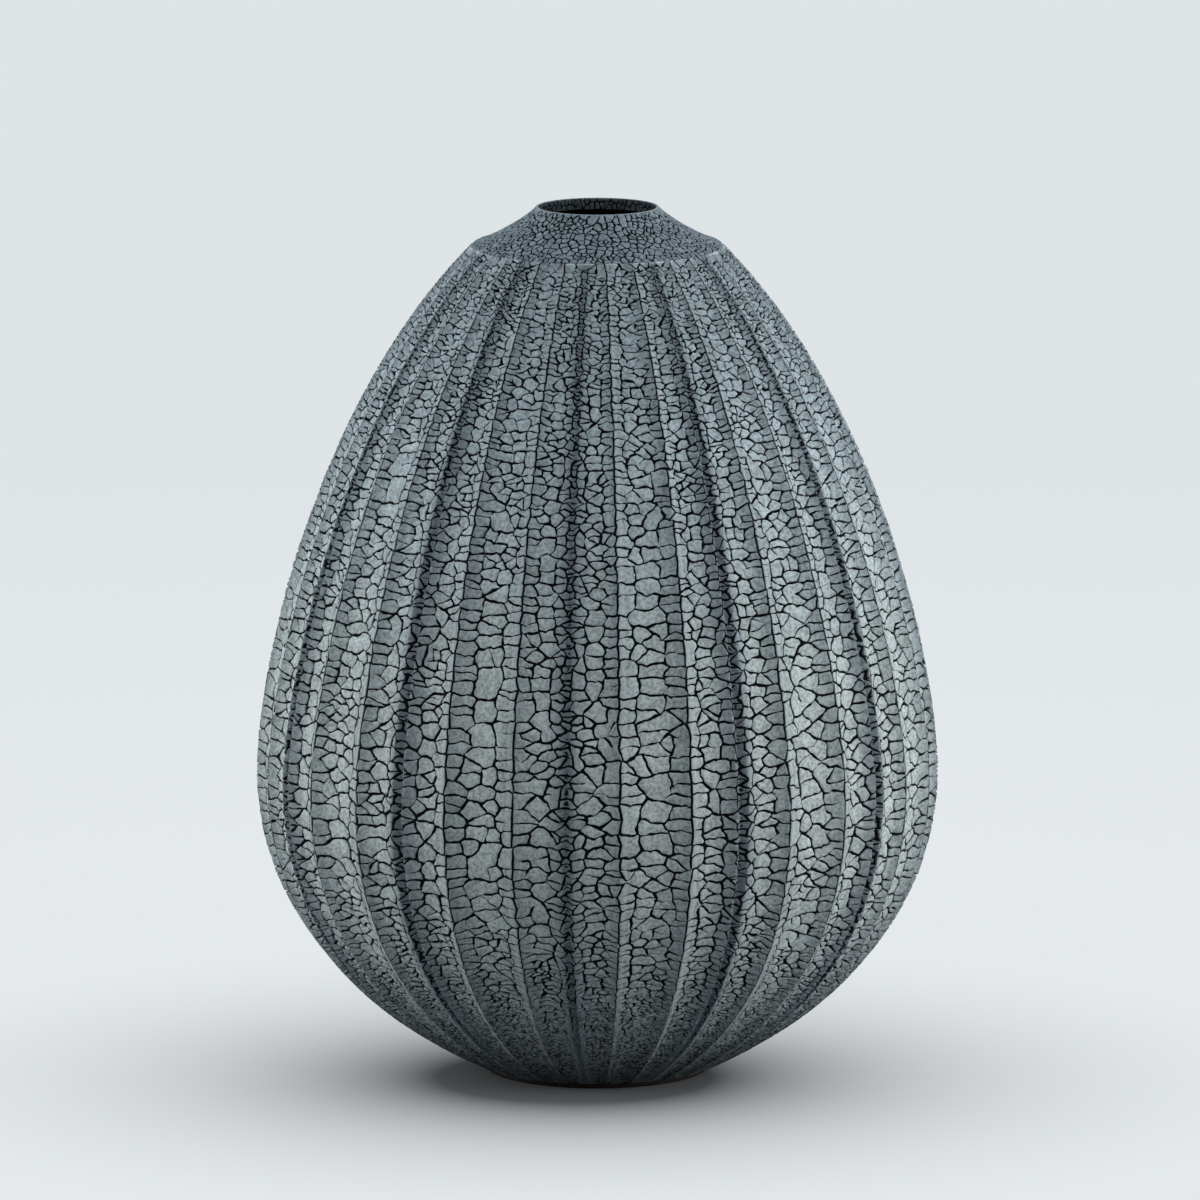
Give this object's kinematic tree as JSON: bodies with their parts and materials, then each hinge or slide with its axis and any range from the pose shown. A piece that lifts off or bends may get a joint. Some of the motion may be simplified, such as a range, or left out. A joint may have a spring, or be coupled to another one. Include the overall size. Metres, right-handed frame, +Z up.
{
  "type": "ceramic jar",
  "caption": "Egg-shaped closed-form stoneware flower jar with carved vertical flutes, a smooth conical shoulder, a small mouth and a cracked grey slip coat.",
  "frame": {"origin": "middle of the face that the jar stands on", "axes": "+Z up along the jar's axis, -Y towards the picture's camera, +X to the picture's right"},
  "size_m": [0.234, 0.234, 0.3],
  "materials": {
    "dark_clay": "matt, fired near-black stoneware",
    "foot_clay": "matt, bare brown-black stoneware",
    "body_slip": "matt grey-blue slip, cracked into small plates",
    "collar_slip": "matt grey-blue slip, finely cracked"
  },
  "bodies": {
    "root": {"fluted_wall": "dark_clay", "shoulder_collar": "dark_clay", "floor_disc": "dark_clay", "foot_ring": "foot_clay", "body_slip": "body_slip", "collar_slip": "collar_slip"}
  },
  "joints": []
}
